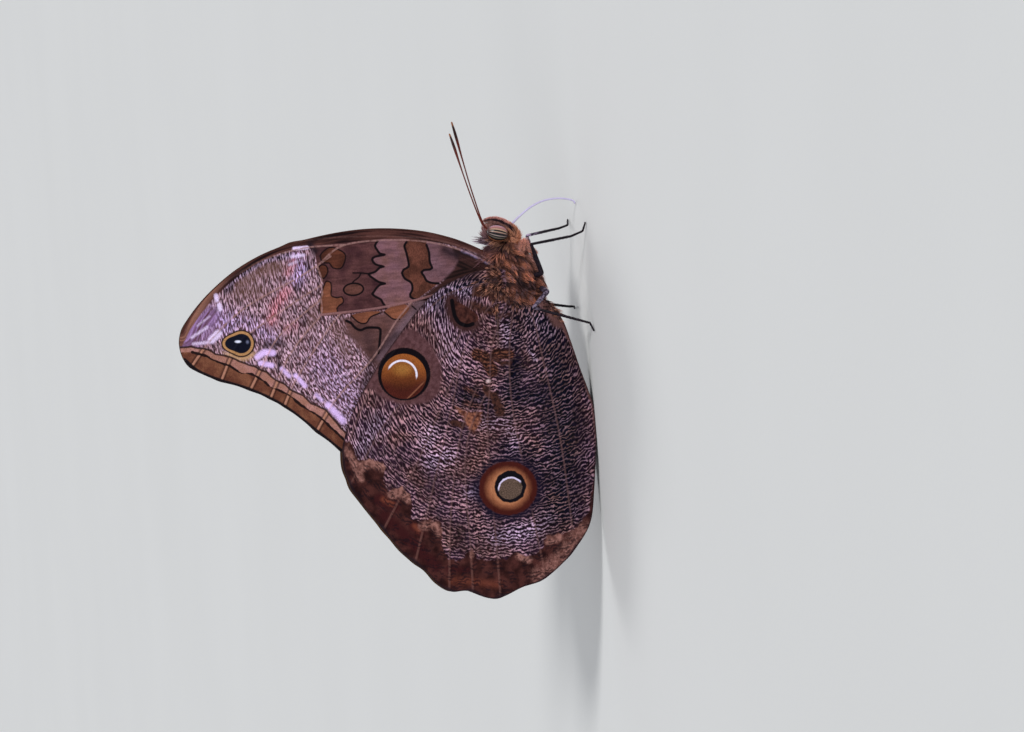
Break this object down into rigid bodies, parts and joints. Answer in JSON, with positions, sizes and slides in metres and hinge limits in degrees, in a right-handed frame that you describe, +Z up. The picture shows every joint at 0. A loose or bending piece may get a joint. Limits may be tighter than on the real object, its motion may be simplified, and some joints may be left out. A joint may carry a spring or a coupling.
{
  "type": "catoblepia soranus butterfly",
  "caption": "Owl butterfly standing with its wings closed upright over its back, with raised wing veins, jointed-looking legs, feelers, palps and an uncoiled tongue.",
  "frame": {"origin": "on the floor, below the middle of the bounding box", "axes": "+X towards the head and the feelers' tips, +Y to the animal's left, +Z up from the floor to the forewing tips"},
  "size_m": [0.0731, 0.0206, 0.0626],
  "materials": {
    "thorax_fur": "woolly orange-brown hair",
    "head_scales": "short brown and lilac-grey hair",
    "abdomen_scales": "matte brown scales",
    "forewing_scales": "matte patterned wing scales",
    "hindwing_scales": "matte rippled wing scales with eyespots",
    "eye": "glossy, striped",
    "palp_scales": "short stiff hair",
    "antenna_shell": "satin reddish-brown shell",
    "leg_scales": "satin dark shell with fine scales",
    "proboscis_shell": "satin pale lilac shell"
  },
  "bodies": {
    "root": {"head": "head_scales", "thorax": "thorax_fur", "abdomen": "abdomen_scales", "eye_left": "eye", "eye_right": "eye", "palp_left": "palp_scales", "palp_right": "palp_scales", "proboscis": "proboscis_shell", "antenna_left": "antenna_shell", "antenna_right": "antenna_shell", "forewing_left": "forewing_scales", "forewing_right": "forewing_scales", "hindwing_left": "hindwing_scales", "hindwing_right": "hindwing_scales", "foreleg_left": "leg_scales", "foreleg_right": "leg_scales", "midleg_left": "leg_scales", "midleg_right": "leg_scales", "hindleg_left": "leg_scales", "hindleg_right": "leg_scales"}
  },
  "joints": []
}
